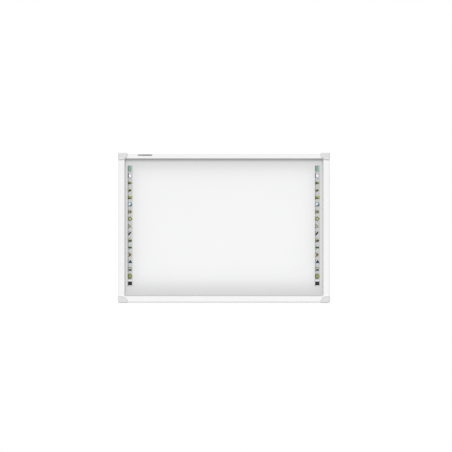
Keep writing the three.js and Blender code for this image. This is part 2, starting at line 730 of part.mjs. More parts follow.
// The upper brackets hook under the outer lip of the top rail, the lower ones under the inner lip of the bottom rail.
function wallBracket(level, side) {
  const upper = level === "upper";
  const lip = upper
    ? { edge: FRAME_Z - CHANNEL.lipStart, room: CHANNEL.lipStart - CHANNEL.wideStart + CLEARANCE }
    : { edge: -FRAME_Z + CHANNEL.lipEnd, room: CHANNEL.wideEnd - CHANNEL.lipEnd + CLEARANCE };
  const section = bracketSection(!upper);
  const toBracket = new THREE.Matrix4().makeBasis(
    new THREE.Vector3(0, 0, 1), // up
    new THREE.Vector3(0, -1, 0), // forward from the wall
    new THREE.Vector3(1, 0, 0),
  );
  const sheet = extrude(section, BRACKET_WIDTH).translate(0, 0, -BRACKET_WIDTH / 2).applyMatrix4(toBracket);
  const slots = WALL_SLOT.places.map((place) => wallSlot(upper ? -place : place));
  const name = level + "_" + side;

  const bracket = new THREE.Group();
  bracket.add(mesh("bracket_" + name, geometryOf(cut(solid(sheet), slots)), zincSteel));
  bracket.add(mesh("glide_" + name, glide(lip), nylonNatural));
  bracket.position.set(side === "left" ? -BRACKET_X : BRACKET_X, 0, lip.edge - CLEARANCE);
  return bracket;
}

// ---- Bumpers, between the side rails and the wall ----

function bumper(name, x, z) {
  const height = WALL_GAP - 0.25;
  const radius = 6;
  const profile = [
    [0, 0],
    [radius, 0],
    [radius, height - 1.2],
    [radius - 1.2, height],
    [0, height],
  ].map(([r, y]) => new THREE.Vector2(r, y));
  const made = mesh(name, new THREE.LatheGeometry(profile, ROUND), bumperRubber);
  made.position.set(x, -WALL_GAP + 0.05, z);
  return made;
}

// ---- Assembly ----

const SIDES = [
  { name: "top", turn: 0, length: 2 * FRAME_X, at: [0, FRAME_Z] },
  { name: "right", turn: 90, length: 2 * FRAME_Z, at: [FRAME_X, 0] },
  { name: "bottom", turn: 180, length: 2 * FRAME_X, at: [0, -FRAME_Z] },
  { name: "left", turn: -90, length: 2 * FRAME_Z, at: [-FRAME_X, 0] },
];

function side({ name, turn, length, at }) {
  const bottom = name === "bottom";
  const emits = name === "top" || name === "left";
  const boardName = (emits ? "emitter_board_" : "receiver_board_") + name;
  const group = new THREE.Group();
  group.add(mesh("rail_" + name, rail(length, bottom ? controllerCuts() : []), frameWhite));
  group.add(mesh("filter_" + name, filterStrip(length - 2 * RAIL_WIDTH), filterSmoke));
  group.add(mesh(boardName, sensorBoard(length, emits ? 5 : 4.4, bottom ? LINK_ALONG : undefined), circuitGreen));
  if (bottom) {
    group.add(mesh("controller_board", controllerBoard(), circuitGreen));
    group.add(mesh("usb_socket", usbSocket(), zincSteel));
    group.add(mesh("controller_lead", linkLead(), cableGrey));
  }
  group.rotation.y = THREE.MathUtils.degToRad(turn);
  group.position.set(at[0], -WALL_GAP, at[1]);
  return group;
}

function corner(vertical, horizontal) {
  const name = vertical + "_" + horizontal;
  const group = new THREE.Group();
  group.add(mesh("corner_cap_" + name, cornerCap(), capGrey));
  group.add(mesh("corner_key_" + name, cornerKey(), bareAluminium));
  group.add(mesh("corner_infill_" + name, cornerInfill(), capGrey));
  group.add(mesh("cap_screw_" + name + "_end", capScrew(true), zincSteel));
  group.add(mesh("cap_screw_" + name + "_side", capScrew(false), zincSteel));
  if (name !== "bottom_left") {
    group.add(mesh("corner_lead_" + name, cornerLead(), cableGrey));
  }
  const right = horizontal === "right" ? 1 : -1;
  const up = vertical === "top" ? 1 : -1;
  group.scale.set(right, 1, up);
  group.position.set((right * BOARD_WIDTH) / 2, -WALL_GAP, (up * BOARD_HEIGHT) / 2);
  return group;
}

const whiteboard = new THREE.Group();
whiteboard.name = "interactive_whiteboard";
whiteboard.add(...boardLayers());
whiteboard.add(...SIDES.map(side));
for (const vertical of ["top", "bottom"]) {
  for (const horizontal of ["left", "right"]) {
    whiteboard.add(corner(vertical, horizontal));
  }
}
for (const level of ["upper", "lower"]) {
  for (const horizontal of ["left", "right"]) {
    whiteboard.add(wallBracket(level, horizontal));
    const bumperX = (horizontal === "left" ? -1 : 1) * (FRAME_X - 27);
    const bumperZ = (level === "upper" ? 1 : -1) * (FRAME_Z - 140);
    whiteboard.add(bumper("bumper_" + level + "_" + horizontal, bumperX, bumperZ));
  }
}
whiteboard.add(keyStrip("left"), keyStrip("right"), badge());

export default whiteboard;
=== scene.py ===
"""Looks of a wall-mounted infrared interactive whiteboard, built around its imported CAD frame.

Metres throughout, except where a name ends in _mm or a comment says millimetres.
+X is the viewer's right, +Z is up, and the board faces -Y. "inward" runs from the frame's outer edge
towards the board, and "forward" from the back of the rails to the viewer.
"""
import math

import bmesh
import bpy
from mathutils import Matrix, Vector
from mathutils.geometry import tessellate_polygon

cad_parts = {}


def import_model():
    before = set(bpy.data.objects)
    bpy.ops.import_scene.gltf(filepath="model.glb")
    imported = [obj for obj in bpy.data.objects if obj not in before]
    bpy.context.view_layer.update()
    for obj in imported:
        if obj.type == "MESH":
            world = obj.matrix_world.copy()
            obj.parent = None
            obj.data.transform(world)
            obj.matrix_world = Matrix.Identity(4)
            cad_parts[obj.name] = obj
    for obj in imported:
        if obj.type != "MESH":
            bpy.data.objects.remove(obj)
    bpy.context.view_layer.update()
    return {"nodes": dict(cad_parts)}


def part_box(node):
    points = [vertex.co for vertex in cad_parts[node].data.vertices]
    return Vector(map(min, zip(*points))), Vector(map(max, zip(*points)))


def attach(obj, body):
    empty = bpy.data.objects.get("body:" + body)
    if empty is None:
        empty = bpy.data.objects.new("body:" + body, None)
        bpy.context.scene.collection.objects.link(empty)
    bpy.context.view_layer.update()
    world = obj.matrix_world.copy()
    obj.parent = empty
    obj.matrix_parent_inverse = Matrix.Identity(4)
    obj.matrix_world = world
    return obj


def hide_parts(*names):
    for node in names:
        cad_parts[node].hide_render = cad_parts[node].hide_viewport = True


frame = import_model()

MM = 0.001
BODY = "board"

# ---- Places, from the frame ----

rail_low, rail_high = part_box("rail_top")
RAILS_FRONT = rail_low.y
RAIL_BACK = rail_high.y
FRAME_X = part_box("rail_right")[1].x  # outer faces of the side rails
FRAME_Z = rail_high.z  # outer faces of the top and bottom rails
BOARD_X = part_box("corner_cap_top_right")[1].x  # over the corner caps
BOARD_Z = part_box("corner_cap_top_right")[1].z
SURFACE_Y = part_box("writing_surface")[0].y

# ---- Shape of the frame, in millimetres ----

RAIL_WIDTH_mm = 52.0
RAIL_DEPTH_mm = 35.0
EDGE_RADIUS_mm = 12.0  # outer front edge of a rail
MITRE_GAP_mm = 0.2
TIP_CUT_mm = 10.0  # cut off each mitre's sharp tip, under the cap
CAP_SKIN_mm = 2.0  # cap wall outside the rails
CAP_LENGTH_mm = 80.0
CAP_HEIGHT_mm = 65.0
CAP_CORNER_mm = 15.0
CAP_TIP_mm = 14.0
CAP_FRONT_mm = 41.0  # cap face, forward from the back of the rails
CAP_SHOULDER_mm = (14.0, 18.0)  # round over the frame's outer edge: across, forward
CAP_FULLNESS = 3  # exponent of the curved edge's superellipse, where 2 would be an ellipse
CAP_ROUND_mm = (7.0, 5.0)  # round along the curved edge: across, forward
CAP_VOID_mm = 20.0  # depth of the void inside the outer corner
CAP_PLAY_mm = 0.3  # between a cap and the rails
TIP_PLAY_mm = 1.5  # between a cap and the rails' cut tips
BEYOND_CAP_mm = 200.0  # well past a cap's inner edge, for what is cut from it
CAP_RIM_mm = (8.0, 12.0)  # the raised rim along the curved edge falls away between these distances
CAP_DISH_mm = 1.2
SCREW_FROM_CORNER_mm = 42.0
SCREW_FORWARD_mm = 13.5
SCREW_SUNK_mm = 0.15
SHANK_RADIUS_mm = 1.75
HEAD_RADIUS_mm = 3.4
SEAT_PLAY_mm = 0.2  # between a cap screw and its seat
KEY_COUNT = 17
KEY_PITCH_mm = 59.0
LAMP_PCB_FRONT_mm = 25.2  # just past the front of the lamp and sensor boards' laminate
CONTROLLER_PCB_FRONT_mm = 9.4


# ---- Meshes ----

def new_object(name, vertices, faces, looks, face_looks=None):
    """A closed mesh with its faces turned outwards. face_looks holds one index into looks for each face."""
    mesh = bpy.data.meshes.new(name)
    mesh.from_pydata([tuple(v) for v in vertices], [], faces)
    for look in looks:
        mesh.materials.append(look)
    if face_looks:
        mesh.polygons.foreach_set("material_index", face_looks)
    work = bmesh.new()
    work.from_mesh(mesh)
    bmesh.ops.recalc_face_normals(work, faces=work.faces)
    work.to_mesh(mesh)
    work.free()
    return in_scene(bpy.data.objects.new(name, mesh))


def in_scene(obj):
    bpy.context.scene.collection.objects.link(obj)
    return obj


def rounded(corners, step_degrees=10):
    """The outline of a polygon whose corners are (x, y, radius), with each round corner as an arc."""
    points = []
    for i, (x, y, radius) in enumerate(corners):
        here = Vector((x, y))
        if radius == 0:
            points.append(here)
            continue
        before = (Vector(corners[i - 1][:2]) - here).normalized()
        after = (Vector(corners[(i + 1) % len(corners)][:2]) - here).normalized()
        half = before.angle(after) / 2
        reach = radius / math.tan(half)
        centre = here + (before + after).normalized() * (radius / math.sin(half))
        start = here + before * reach - centre
        end = here + after * reach - centre
        first = math.atan2(start.y, start.x)
        turn = math.remainder(math.atan2(end.y, end.x) - first, math.tau)
        steps = max(2, math.ceil(abs(math.degrees(turn)) / step_degrees))
        for k in range(steps + 1):
            angle = first + turn * k / steps
            points.append(centre + Vector((math.cos(angle), math.sin(angle))) * radius)
    return points


def rectangle(left, low, right, high, radius=0.0, step_degrees=10):
    corners = [(left, low), (right, low), (right, high), (left, high)]
    return rounded([(x, y, radius) for x, y in corners], step_degrees)


def arc(x, y, radius, start, end, steps, radius_y=None):
    """Points of an arc or a piece of an ellipse, between two angles in degrees."""
    radius_y = radius if radius_y is None else radius_y
    angles = [math.radians(start + (end - start) * k / steps) for k in range(steps + 1)]
    return [Vector((x + radius * math.cos(a), y + radius_y * math.sin(a))) for a in angles]


class Solids:
    """Gathers closed prisms and turned shapes into one mesh."""

    def __init__(self):
        self.vertices, self.faces, self.looks = [], [], []

    def prism(self, outline, place, low, high, look=0, holes=()):
        """place(point, level) puts a point of the outline at its level, which is low or high."""
        loops = [list(outline), *[list(hole) for hole in holes]]
        flat = [p for loop in loops for p in loop]
        first, count = len(self.vertices), len(flat)
        self.vertices += [place(p, low) for p in flat] + [place(p, high) for p in flat]
        lids = tessellate_polygon([[Vector((p.x, p.y, 0)) for p in loop] for loop in loops])
        made = [tuple(first + i for i in lid) for lid in lids]
        made += [tuple(first + count + i for i in reversed(lid)) for lid in lids]
        start = first
        for loop in loops:
            for i in range(len(loop)):
                a, b = start + i, start + (i + 1) % len(loop)
                made.append((a, b, b + count, a + count))
            start += len(loop)
        self.faces += made
        self.looks += [look] * len(made)
        return self

    def lathe(self, profile, segments=32):
        """Turns (radius, height) pairs about the Y axis. The first and last are on the axis."""
        first = len(self.vertices)
        rings = profile[1:-1]
        self.vertices.append(Vector((0, profile[0][1], 0)))
        for radius, y in rings:
            for k in range(segments):
                angle = math.tau * k / segments
                self.vertices.append(Vector((radius * math.cos(angle), y, radius * math.sin(angle))))
        self.vertices.append(Vector((0, profile[-1][1], 0)))
        last = len(self.vertices) - 1
        made = []
        for k in range(segments):
            after = (k + 1) % segments
            made.append((first, first + 1 + k, first + 1 + after))
            for ring in range(len(rings) - 1):
                a = first + 1 + ring * segments
                b = a + segments
                made.append((a + k, a + after, b + after, b + k))
            a = last - segments
            made.append((last, a + after, a + k))
        self.faces += made
        self.looks += [0] * len(made)
        return self

    def box(self, low, high):
        outline = rectangle(low[0], low[2], high[0], high[2])
        return self.prism(outline, lambda p, y: Vector((p.x, y, p.y)), low[1], high[1])

    def build(self, name, looks, matrix=None):
        vertices = self.vertices if matrix is None else [matrix @ v for v in self.vertices]
        return new_object(name, vertices, self.faces, looks, self.looks)


def cut(obj, *cutters):
    """Cuts solids out of a mesh for good."""
    for cutter in cutters:
        knife = obj.modifiers.new("cut", "BOOLEAN")
        knife.operation, knife.solver, knife.object = "DIFFERENCE", "EXACT", cutter
    bpy.context.view_layer.update()
    graph = bpy.context.evaluated_depsgraph_get()
    made = bpy.data.meshes.new_from_object(obj.evaluated_get(graph))
    obj.modifiers.clear()
    obj.data = made
    for cutter in cutters:
        bpy.data.objects.remove(cutter)
    return obj


def smooth(obj, angle=35):
    """Smooth shading that stays crisp at edges sharper than angle, in degrees."""
    mesh = obj.data
    mesh.polygons.foreach_set("use_smooth", [True] * len(mesh.polygons))
    mesh.set_sharp_from_angle(angle=math.radians(angle))
    weighted = obj.modifiers.new("weighted_normals", "WEIGHTED_NORMAL")
    weighted.keep_sharp = True


def soften(obj, width, segments=2, angle=40):
    """Small rounds along a mesh's sharp edges, which change none of its own points."""
    bevel = obj.modifiers.new("edge_rounds", "BEVEL")
    bevel.width, bevel.segments = width, segments
    bevel.limit_method, bevel.angle_limit = "ANGLE", math.radians(angle)
    bevel.harden_normals = False


def keep(obj, slot, *nodes, body=BODY):
    """Puts a finished piece on its body, in place of the CAD nodes that it stands for."""
    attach(obj, body)
    if nodes:
        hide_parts(*nodes)


# ---- Materials ----

def rgb(text):
    """A display colour such as "c0c4c8", as the linear colour that a shader takes."""
    values = [int(text[i:i + 2], 16) / 255 for i in (0, 2, 4)]
    linear = [v / 12.92 if v <= 0.04045 else ((v + 0.055) / 1.055) ** 2.4 for v in values]
    return (*linear, 1)


class Look:
    """A procedural material being made: each call adds a node and returns the socket that it feeds on."""

    def __init__(self, name):
        self.material = bpy.data.materials.new(name)
        self.material.use_nodes = True
        self.nodes = self.material.node_tree.nodes
        self.links = self.material.node_tree.links
        self.shader = self.nodes["Principled BSDF"]
        self.place = self.nodes.new("ShaderNodeTexCoord").outputs["Object"]

    def feed(self, socket, value):
        if isinstance(value, bpy.types.NodeSocket):
            self.links.new(value, socket)
        else:
            socket.default_value = value

    def add(self, kind, inputs, **settings):
        node = self.nodes.new(kind)
        for key, value in settings.items():
            setattr(node, key, value)
        for key, value in inputs.items():
            self.feed(node.inputs[key], value)
        return node

    def scaled(self, stretch):
        """The place in the frame, stretched along each axis."""
        if stretch is None:
            return self.place
        return self.add("ShaderNodeMapping", {"Vector": self.place, "Scale": stretch}).outputs["Vector"]

    def noise(self, per_metre, detail=3.0, roughness=0.5, stretch=None):
        inputs = {"Vector": self.scaled(stretch), "Scale": per_metre}
        inputs |= {"Detail": detail, "Roughness": roughness}
        return self.add("ShaderNodeTexNoise", inputs).outputs["Fac"]

    def cells(self, per_metre, output="Distance", feature="F1", stretch=None):
        inputs = {"Vector": self.scaled(stretch), "Scale": per_metre}
        return self.add("ShaderNodeTexVoronoi", inputs, feature=feature).outputs[output]

    def axis(self, name):
        return self.add("ShaderNodeSeparateXYZ", {"Vector": self.place}).outputs[name]

    def total(self, a, b):
        return self.add("ShaderNodeMath", {0: a, 1: b}, operation="ADD").outputs[0]

    def fit(self, value, low, high, to_low=0.0, to_high=1.0):
        """Value from the range low to high, moved to the range to_low to to_high and held there."""
        inputs = {"Value": value, "From Min": low, "From Max": high, "To Min": to_low, "To Max": to_high}
        return self.add("ShaderNodeMapRange", inputs).outputs["Result"]

    def vary(self, noise, low, high):
        """A value that follows a noise from low to high. A noise is seldom outside 0.3 to 0.7."""
        return self.fit(noise, 0.3, 0.7, low, high)

    def blend(self, factor, a, b):
        """The colour between a and b. Inputs 6 and 7 and output 2 are the mix node's colours."""
        return self.add("ShaderNodeMix", {"Factor": factor, 6: a, 7: b}, data_type="RGBA").outputs[2]

    def finish(self, colour, roughness, height=None, depth=0.0, **more):
        """Feeds the shader. height, if there is one, makes bumps that are depth metres deep."""
        inputs = {"Base_Color": colour, "Roughness": roughness, **more}
        if height is not None:
            bump = self.add("ShaderNodeBump", {"Height": height, "Distance": depth, "Strength": 1.0})
            inputs["Normal"] = bump.outputs["Normal"]
        for name, value in inputs.items():
            self.feed(self.shader.inputs[name.replace("_", " ")], value)
        return self.material


def powder_coat():
    """Satin white powder coat: orange peel, a breath of tone, and a sheen that varies a little."""
    look = Look("powder_coat")
    peel = look.noise(520, 2.0)
    colour = look.blend(look.noise(7, 2.0), (0.895, 0.896, 0.898, 1), (0.915, 0.915, 0.914, 1))
    rough = look.vary(look.noise(60), 0.40, 0.52)
    return look.finish(colour, rough, peel, 0.00006)


def moulded_grey():
    """Light grey moulded plastic with a fine spark-eroded texture."""
    look = Look("moulded_grey")
    grain = look.total(look.cells(1400), look.noise(2600, 2.0))
    colour = look.blend(look.noise(22), (0.722, 0.725, 0.726, 1), (0.752, 0.754, 0.754, 1))
    rough = look.vary(look.noise(900, 2.0), 0.48, 0.62)
    return look.finish(colour, rough, grain, 0.00005)


def mottled(name, mottle, dark, light, grain, depth, roughness, **more):
    """A tone that drifts between two colours, mottle times a metre, with a fine noise for its grain."""
    look = Look(name)
    colour = look.blend(look.noise(mottle), dark, light)
    return look.finish(colour, roughness, look.noise(*grain), depth, **more)


def infill_white():
    dark, light = (0.80, 0.80, 0.80, 1), (0.84, 0.84, 0.835, 1)
    return mottled("infill_white", 30, dark, light, (1500, 2.0), 0.00004, 0.5)


def writing_face():
    """Coated steel: matte, very finely grained, with faint wiping marks in its sheen."""
    look = Look("writing_face")
    wipes = look.noise(3.2, 4.0, 0.6, stretch=(1.0, 1.0, 0.25))
    colour = look.blend(look.noise(2.5, 2.0), (0.648, 0.649, 0.662, 1), (0.662, 0.662, 0.656, 1))
    rough = look.vary(wipes, 0.42, 0.56)
    return look.finish(colour, rough, look.noise(1100, 2.0), 0.00002)


def honeycomb_core():
    """Edge of a paper honeycomb board."""
    look = Look("honeycomb_core")
    walls = look.fit(look.cells(120, feature="DISTANCE_TO_EDGE"), 0.0, 0.12)
    colour = look.blend(walls, rgb("a98b5c"), rgb("cdb68c"))
    return look.finish(colour, 0.9, walls, 0.0006)


def galvanised():
    """Hot-dipped sheet: crystals of spangle that differ in tone and sheen."""
    look = Look("galvanised")
    crystals = 130  # a metre
    crystal = look.cells(crystals, "Color")
    tone = look.add("ShaderNodeSeparateColor", {"Color": crystal}).outputs["Red"]
    colour = look.blend(tone, rgb("a9aeb1"), rgb("c0c4c6"))
    streak = look.noise(35, 3.0, 0.55, stretch=(0.15, 1.0, 1.0))
    rough = look.total(look.fit(tone, 0.0, 1.0, 0.32, 0.42), look.vary(streak, 0.0, 0.10))
    border = look.fit(look.cells(crystals, feature="DISTANCE_TO_EDGE"), 0.0, 0.08)
    return look.finish(colour, rough, border, 0.00003, Metallic=0.85)


def zinc_plate():
    """Bright zinc plating over pressed steel, with rolling lines and a passivated tint."""
    look = Look("zinc_plate")
    lines = look.noise(900, 2.0, stretch=(0.04, 1.0, 1.0))
    colour = look.blend(look.noise(45), rgb("b9bcc4"), rgb("cfcdbf"))
    rough = look.vary(lines, 0.24, 0.40)
    return look.finish(colour, rough, lines, 0.00002, Metallic=0.95)


def cast_aluminium():
    dark, light, grain = rgb("b2b5b8"), rgb("cbccce"), (700, 4.0, 0.65)
    return mottled("cast_aluminium", 60, dark, light, grain, 0.00012, 0.5, Metallic=0.9)


def smoke_filter():
    """Polished dark acrylic that only infrared light passes through."""
    look = Look("smoke_filter")
    colour = look.blend(look.noise(12, 2.0), (0.115, 0.103, 0.113, 1), (0.140, 0.128, 0.136, 1))
    rough = look.vary(look.noise(240), 0.08, 0.16)
    return look.finish(colour, rough, Coat_Weight=0.5, Coat_Roughness=0.05)


def circuit_board(name, front):
    """Green solder mask with copper traces under it. The parts that stand forward of front are dark."""
    look = Look(name)
    traces = look.cells(260, feature="DISTANCE_TO_EDGE", stretch=(0.3, 1.0, 1.0))
    mask = look.blend(look.fit(traces, 0.02, 0.06), rgb("2f7d4d"), rgb("14532f"))
    above = look.fit(look.axis("Y"), front + 0.0001, front - 0.0001)
    parts = look.blend(look.noise(400, 1.0), rgb("1c1d20"), rgb("34363b"))
    colour = look.blend(above, mask, parts)
    return look.finish(colour, 0.38, traces, 0.00003)


def lead_jacket():
    return mottled("lead_jacket", 90, rgb("808488"), rgb("94979a"), (1600, 2.0), 0.00004, 0.55)


def natural_nylon():
    depths = {"Subsurface_Weight": 0.15, "Subsurface_Radius": (0.004, 0.003, 0.002)}
    dark, light = rgb("d8d2bd"), rgb("e8e3d3")
    return mottled("natural_nylon", 80, dark, light, (900, 2.0), 0.00005, 0.45, **depths)


def matte_rubber():
    return mottled("matte_rubber", 150, rgb("1d1d1e"), rgb("2c2c2d"), (2200, 3.0), 0.00008, 0.85)


def key_film(name, strip_low, strip_high):
    """Printed vinyl with painted light: each key's ground runs from dark grey on its left, a painted shade,
    to pale grey on its right, a painted highlight, as on a raised bevelled button.
    """
    look = Look(name)
    across = look.fit(look.axis("X"), strip_low.x, strip_high.x)
    # Painted light: the dark stop on the left is a painted shade and the pale stops to the right are a
    # painted highlight, as if each key were a raised button.
    painted_bevel_ramp = look.add("ShaderNodeValToRGB", {"Fac": across})
    painted_bevel_stops = [(0.0, "9b9c9d"), (0.16, "a9aaab"), (0.34, "b9babb"), (0.72, "bcbcbd"), (1.0, "b6b6b8")]
    points = painted_bevel_ramp.color_ramp.elements
    while len(points) < len(painted_bevel_stops):
        points.new(0.5)
    for point, (at, colour) in zip(points, painted_bevel_stops):
        point.position = at
        point.color = rgb(colour)
    colour = look.blend(look.vary(look.noise(35), 0.0, 0.12), painted_bevel_ramp.outputs["Color"], rgb("e2e2e2"))
    return look.finish(colour, 0.34, look.noise(1400, 2.0), 0.00002)


def ink(name, colour):
    """Screen-printed ink: an even tone with a little mottle, and a slight gloss."""
    look = Look("ink_" + name)
    full = rgb(colour)
    light = tuple(min(1.0, c * 1.12 + 0.012) for c in full[:3]) + (1,)
    tone = look.blend(look.fit(look.noise(420), 0.35, 0.65), full, light)
    return look.finish(tone, 0.36, look.noise(1800, 2.0), 0.00002)


def brushed_badge():
    look = Look("brushed_badge")
    lines = look.noise(1500, 2.0, stretch=(0.03, 1.0, 1.0))
    colour = look.blend(lines, rgb("a4a6a8"), rgb("bfc1c3"))
    rough = look.vary(lines, 0.30, 0.45)
    return look.finish(colour, rough, lines, 0.00003, Metallic=0.2)


# ---- Frame rails ----

SIDE_TURNS = {"top": 0, "right": 90, "bottom": 180, "left": -90}


def side_matrix(side):
    """A side's own frame: along x, with its outer face at z = 0 and its back at y = 0."""
    places = {"top": (0, FRAME_Z), "right": (FRAME_X, 0), "bottom": (0, -FRAME_Z), "left": (-FRAME_X, 0)}
    x, z = places[side]
    turn = Matrix.Rotation(math.radians(SIDE_TURNS[side]), 4, "Y")
    return Matrix.Translation((x, RAIL_BACK, z)) @ turn


def rail_outline():
    """The extrusion's section: corners (inward, forward, radius), from its outer back corner."""
    wall, lip, inside, seat, web = 1.8, 1.8, 33.2, 20.0, 21.6
    mouth_outer, mouth_inner = 8.5, 15.5  # the hanging channel's mouth, in its back lip
    pocket_outer, pocket_inner, pocket = 5, 19, 6.4
    hanging_channel = [
        (mouth_outer, 0, 0.4), (mouth_outer, lip, 0.4), (pocket_outer, lip, 0.4),
        (pocket_outer, pocket, 0.6), (pocket_inner, pocket, 0.6),
        (pocket_inner, lip, 0.4), (mouth_inner, lip, 0.4), (mouth_inner, 0, 0.4),
    ]
    flange, board_edge, shelf = 34, 22, 45.6  # ends of the back flange, the board and its shelf
    board_slot = [
        (flange, 0, 0.6), (flange, lip, 0.6), (board_edge, lip, 0.4), (board_edge, seat, 0.4),
        (shelf, seat, 0.5), (shelf, web, 0.5),
    ]
    width, top = 1.4, 23.4
    lamp_board_ribs = []
    for near in (41.4, 26.0):
        far = near + width
        lamp_board_ribs += [(far, web, 0.2), (far, top, 0.3), (near, top, 0.3), (near, web, 0.2)]
    lamp_space = [(wall, web, 0.3), (wall, inside, EDGE_RADIUS_mm - wall)]
    filter_rib, groove_outer, groove_inner, rail_lip = 44.4, 46.1, 48.5, 31.4
    filter_groove = [
        (filter_rib, inside, 0.2), (filter_rib, rail_lip, 0.3),
        (groove_outer, rail_lip, 0.3), (groove_outer, inside, 0.2),
        (groove_inner, inside, 0.2), (groove_inner, rail_lip, 0.3),
    ]
    front = [(RAIL_WIDTH_mm, rail_lip, 0.2), (RAIL_WIDTH_mm, RAIL_DEPTH_mm, 3.0)]
    crease, half_width, depth = 33.0, 0.9, 0.7
    face_crease = [
        (crease + half_width, RAIL_DEPTH_mm, 0.6), (crease, RAIL_DEPTH_mm - depth, 0.4),
        (crease - half_width, RAIL_DEPTH_mm, 0.6),
    ]
    outer = [(0, RAIL_DEPTH_mm, EDGE_RADIUS_mm)]
    back = [(0, 0, 0.8), *hanging_channel, *board_slot]
    return rounded([*back, *lamp_board_ribs, *lamp_space, *filter_groove, *front, *face_crease, *outer], 7)


def rail_chamber():
    """The closed chamber in front of the hanging channel: inward, forward."""
    return rectangle(1.8, 7.8, 20.2, 20, 0.5)


def rail(side, look):
    half = (FRAME_X if side in ("top", "bottom") else FRAME_Z) / MM

    def place(point, end):
        """A point of the section, run out to the mitre at one end, where the mitre's tip is cut off."""
        along = half - max(MITRE_GAP_mm + point.x, TIP_CUT_mm)
        return Vector((end * along, -point.y, -point.x)) * MM

    matrix = side_matrix(side)
    solids = Solids().prism(rail_outline(), place, -1, 1, holes=[rail_chamber()])
    bar = solids.build("frame_rail_" + side, [look], matrix)
    cutters = [screw_hole(end * (half + CAP_SKIN_mm - SCREW_FROM_CORNER_mm), matrix) for end in (-1, 1)]
    if side == "bottom":
        cutters += [socket_hole(matrix), link_hole(matrix)]
    cut(bar, *cutters)
    smooth(bar)
    keep(bar, "frame_white", "rail_" + side)


def drill(radius, reach, place):
    """A cylinder to cut with, which reaches as far both ways along its own Y axis."""
    profile = [(0, -reach), (radius, -reach), (radius, reach), (0, reach)]
    return Solids().lathe(profile).build("hole", [], place)


def screw_hole(along_mm, matrix):
    """A round hole through a rail's outer wall, round a cap screw."""
    play, reach = 0.4, 3 * MM
    turned = Matrix.Rotation(math.radians(90), 4, "X")
    place = matrix @ Matrix.Translation((along_mm * MM, -SCREW_FORWARD_mm * MM, 0)) @ turned
    return drill((SHANK_RADIUS_mm + play) * MM, reach, place)


def socket_hole(matrix):
    """The mouth in the rail's underside in front of the socket."""
    play, through = 0.3 * MM, 3 * MM
    inner = matrix.inverted()
    a, b = [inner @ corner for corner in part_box("usb_socket")]
    low = (min(a.x, b.x) - play, min(a.y, b.y) - play, -through)
    high = (max(a.x, b.x) + play, max(a.y, b.y) + play, through)
    return Solids().box(low, high).build("hole", [], matrix)


def link_hole(matrix):
    """The hole in the web that the controller's lead goes through."""
    low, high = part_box("controller_lead")
    middle = matrix.inverted() @ ((low + high) / 2)
    radius, reach, web, inward = 3 * MM, 2 * MM, 20.8 * MM, 11 * MM
    return drill(radius, reach, matrix @ Matrix.Translation((middle.x, -web, -inward)))


# ---- Corner caps and screws ----

CORNERS = [(v + "_" + h, 1 if h == "right" else -1, 1 if v == "top" else -1)
           for v in ("top", "bottom") for h in ("left", "right")]


def corner_matrix(right, up):
    """A corner's own frame: x across and y down from the outer corner, and z forward. Corners mirror it."""
    basis = Matrix(((-1, 0, 0, 0), (0, 0, -1, 0), (0, -1, 0, 0), (0, 0, 0, 1)))
    mirror = Matrix.Diagonal((right, 1, up, 1))
    return Matrix.Translation((right * BOARD_X, RAIL_BACK, up * BOARD_Z)) @ mirror @ basis


def copy_to_corner(obj, name, right, up):
    """A copy of a mesh made in the corner's own frame, at one corner."""
    mesh = obj.data.copy()
    matrix = corner_matrix(right, up)
    mesh.transform(matrix)
    if matrix.determinant() < 0:
        mesh.flip_normals()
    return in_scene(bpy.data.objects.new(name, mesh))


def cap_edge(turn):
    """A point of the cap's curved edge, and the direction that the edge faces there."""
    reach = 2 / CAP_FULLNESS
    cosine, sine = math.cos(turn), math.sin(turn)
    point = Vector((CAP_LENGTH_mm * cosine ** reach, CAP_HEIGHT_mm * sine ** reach))
    return point, math.atan2(CAP_LENGTH_mm * sine ** (2 - reach), CAP_HEIGHT_mm * cosine ** (2 - reach))


def tip_turns():
    """The turns where round tips, flush with the outer sides, run smoothly into the curved edge."""
    start, end, passes = 0.0, math.pi / 2, 20
    for _ in range(passes):
        at_start = CAP_TIP_mm * (1 + math.sin(cap_edge(start)[1])) / CAP_HEIGHT_mm
        at_end = CAP_TIP_mm * (1 + math.cos(cap_edge(end)[1])) / CAP_LENGTH_mm
        start = math.asin(at_start ** (CAP_FULLNESS / 2))
        end = math.acos(at_end ** (CAP_FULLNESS / 2))
    return start, end


def cap_inner_edge():
    """The cap's edge over the rails, (across, down): it bulges over both of them, and has round tips."""
    tip, steps, tip_steps = CAP_TIP_mm, 72, 20
    start, end = tip_turns()
    (first, first_facing), (last, last_facing) = cap_edge(start), cap_edge(end)
    tip_across = first.x - tip * math.cos(first_facing)
    tip_down = last.y - tip * math.sin(last_facing)
    edge = arc(tip_across, tip, tip, -90, math.degrees(first_facing), tip_steps)
    edge += [cap_edge(start + (end - start) * k / steps)[0] for k in range(1, steps)]
    edge += arc(tip, tip_down, tip, math.degrees(last_facing), 180, tip_steps)
    return edge


def rounding(distance, reach, drop):
    """How far a face has fallen at a distance from its edge, over a quarter ellipse."""
    left = 1 - min(distance, reach) / reach
    return drop * (1 - math.sqrt(max(0.0, 1 - left * left)))


def to_outer_edge(p):
    """Distance from a point to the cap's outer sides, which meet in a round corner."""
    r = CAP_CORNER_mm
    if p.x < r and p.y < r:
        return r - math.hypot(r - p.x, r - p.y)
    return min(p.x, p.y)


def to_polyline(p, line):
    best = math.inf
    for a, b in zip(line, line[1:]):
        run = b - a
        share = min(1.0, max(0.0, (p - a).dot(run) / run.length_squared))
        best = min(best, (p - a - run * share).length)
    return best


